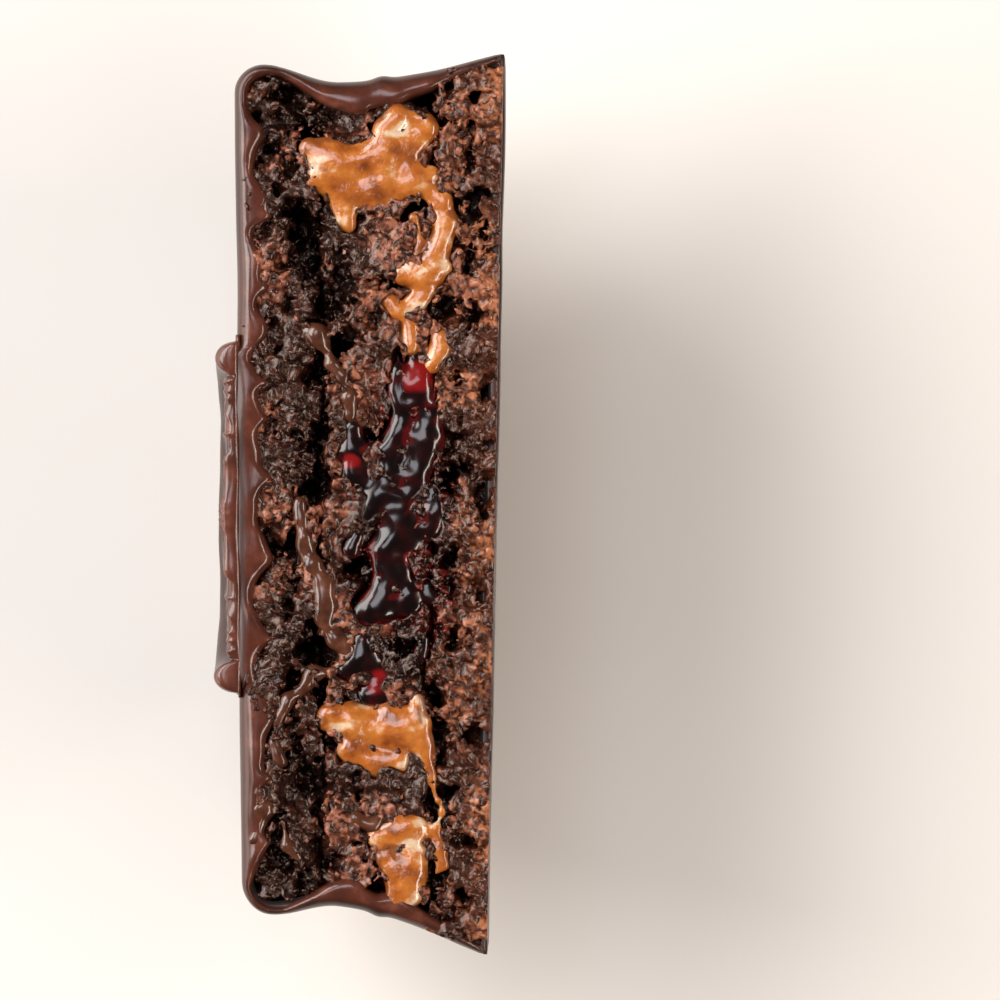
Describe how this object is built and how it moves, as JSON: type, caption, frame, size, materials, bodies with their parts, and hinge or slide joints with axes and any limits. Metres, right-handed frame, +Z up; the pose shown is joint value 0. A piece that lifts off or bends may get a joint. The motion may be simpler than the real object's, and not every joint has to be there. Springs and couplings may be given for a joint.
{
  "type": "halved alfajor cookie",
  "caption": "Half of a chocolate-coated sandwich cookie, cut face up, with a caramel and berry jam filling between dark cookies and a stamped seal on its top.",
  "frame": {"origin": "middle of the bounding box at its bottom, where the round rim rests", "axes": "+Z up, out of the cut face; +X along the cut face's length; the stack's axis lies along Y, with the stamped top facing -Y and the base facing +Y"},
  "size_m": [0.07, 0.0224, 0.0325],
  "materials": {
    "chocolate": "satin dark chocolate",
    "seal_chocolate": "satin stamped dark chocolate",
    "cookie_crumb_top": "coarse cocoa biscuit crumb",
    "ganache": "glossy milk-brown chocolate",
    "cookie_crumb_middle": "coarse cocoa biscuit crumb, oily",
    "dulce_de_leche": "glossy milk caramel",
    "berry_jam": "wet dark red jam",
    "cookie_crumb_base": "dense cocoa biscuit crumb"
  },
  "bodies": {
    "root": {"chocolate_coat": "chocolate", "top_seal": "seal_chocolate", "cookie_top": "cookie_crumb_top", "ganache_layer": "ganache", "cookie_middle": "cookie_crumb_middle", "dulce_ring": "dulce_de_leche", "jam_core": "berry_jam", "cookie_base": "cookie_crumb_base"}
  },
  "joints": []
}
